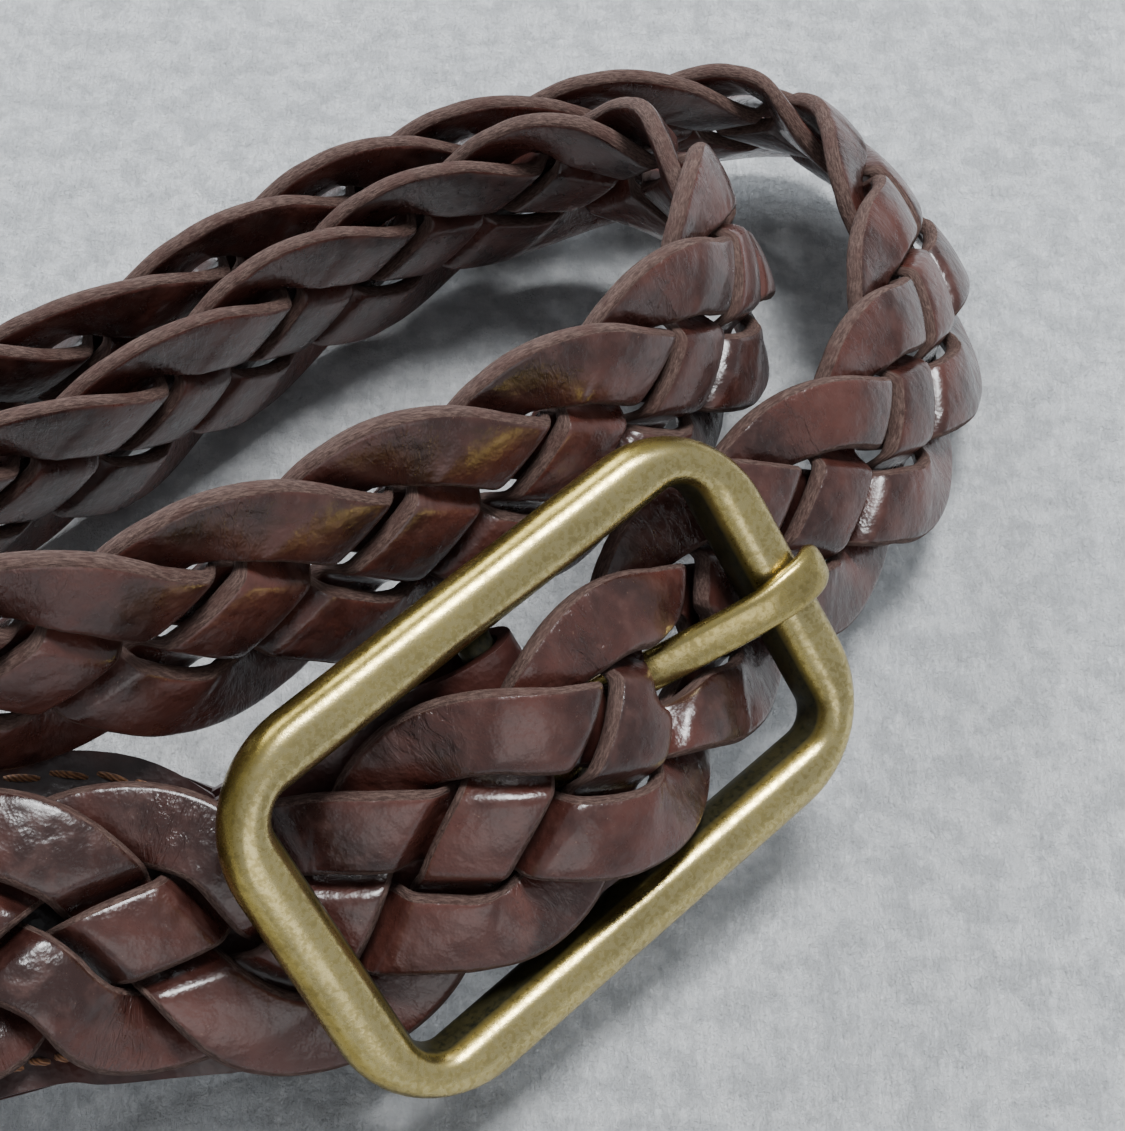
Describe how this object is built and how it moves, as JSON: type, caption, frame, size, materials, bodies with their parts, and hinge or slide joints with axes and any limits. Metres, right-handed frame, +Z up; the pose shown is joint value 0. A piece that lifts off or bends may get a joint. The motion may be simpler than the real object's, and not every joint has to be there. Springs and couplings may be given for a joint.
{
  "type": "braided belt",
  "caption": "Flat-plaited leather strap coiled in two turns and closed by a rounded rectangular centre-bar buckle with a single prong.",
  "frame": {"origin": "centre of the footprint on the surface the coil stands on", "axes": "+X along the coil's length, +Y away from the buckle towards the back of the coil, +Z up"},
  "size_m": [0.175, 0.1366, 0.0506],
  "materials": {
    "lace_leather": "dark chocolate brown, waxed and glossy on the grain side, fibrous lighter cut edges",
    "tab_leather": "dark brown, smooth satin",
    "waxed_thread": "orange-brown waxed thread",
    "antique_brass": "antiqued: satin yellow-olive brass with darker mottled patches"
  },
  "bodies": {
    "strap": {"lace_1": "lace_leather", "lace_2": "lace_leather", "lace_3": "lace_leather", "lace_4": "lace_leather", "chape": "tab_leather", "chape_core": "tab_leather", "tip_outer": "tab_leather", "tip_inner": "tab_leather", "chape_stitch_outer_upper": "waxed_thread", "chape_stitch_outer_lower": "waxed_thread", "chape_stitch_inner_upper": "waxed_thread", "chape_stitch_inner_lower": "waxed_thread", "tip_stitch_outer": "waxed_thread", "tip_stitch_inner": "waxed_thread"},
    "frame": {"buckle_frame": "antique_brass", "centre_bar": "antique_brass"},
    "prong": {"prong": "antique_brass"}
  },
  "joints": [
    {"name": "frame_rock", "type": "hinge", "parent": "strap", "child": "frame", "pos_m": [0.03818, -0.03102, 0.02255], "axis": [0.5153, -0.458, -0.7244], "range_deg": [-1, 1]},
    {"name": "prong_lift", "type": "hinge", "parent": "frame", "child": "prong", "pos_m": [0.03818, -0.03102, 0.02255], "axis": [0.5153, -0.458, -0.7244], "range_deg": [0, 5]}
  ]
}
